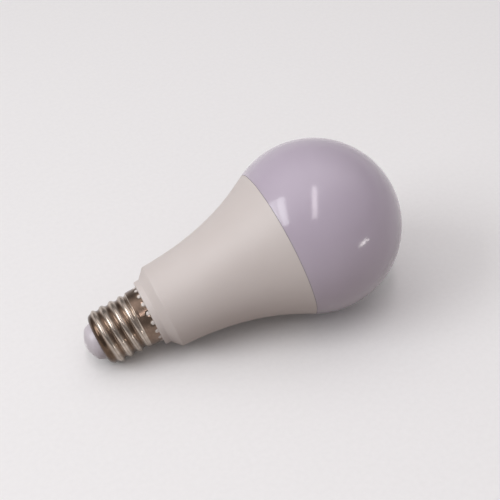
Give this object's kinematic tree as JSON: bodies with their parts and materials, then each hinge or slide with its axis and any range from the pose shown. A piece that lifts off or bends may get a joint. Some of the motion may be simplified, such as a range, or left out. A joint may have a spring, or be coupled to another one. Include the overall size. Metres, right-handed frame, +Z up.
{
  "type": "led bulb",
  "caption": "Sealed LED bulb with a milky globe, a flared plastic housing and an intermediate screw cap, lying on its side.",
  "frame": {"origin": "centre of the bulb's footprint at table level, with the bulb at rest on the globe and the screw shell", "axes": "+Z up from the table; +X along the bulb's heading from cap to globe, with the bulb axis rising 15.13 degrees from +X; +Y to the left of that heading"},
  "size_m": [0.095, 0.05, 0.05],
  "materials": {
    "nickel_shell": "nickel plate, light rolling marks",
    "insulator": "smooth",
    "contact": "nickel plate",
    "housing": "satin",
    "diffuser": "milky, gloss",
    "aluminium": "drawn sheet",
    "solder_mask": "white solder mask",
    "led_chip": "phosphor",
    "circuit_board": "satin",
    "capacitor_sleeve": "shrink sleeve",
    "inductor": "ferrite",
    "black_package": "moulded",
    "film_box": "coated",
    "resistor": "lacquer",
    "lead_wire": "tinned",
    "connector": "moulded",
    "screw": "zinc plate"
  },
  "bodies": {
    "root": {"screw_shell": "nickel_shell", "tip_insulator": "insulator", "centre_contact": "contact", "housing": "housing", "diffuser": "diffuser", "heat_sink_cup": "aluminium", "led_board": "solder_mask", "driver_board": "circuit_board", "smoothing_capacitor": "capacitor_sleeve", "inductor": "inductor", "rectifier": "black_package", "driver_ic": "black_package", "film_capacitor": "film_box", "fuse_resistor": "resistor", "neutral_lead": "lead_wire", "output_connector": "connector", "board_screw_1": "screw", "board_screw_2": "screw", "led_chip_01": "led_chip", "led_chip_02": "led_chip", "led_chip_03": "led_chip", "led_chip_04": "led_chip", "led_chip_05": "led_chip", "led_chip_06": "led_chip", "led_chip_07": "led_chip", "led_chip_08": "led_chip", "led_chip_09": "led_chip", "led_chip_10": "led_chip", "led_chip_11": "led_chip", "led_chip_12": "led_chip"}
  },
  "joints": []
}
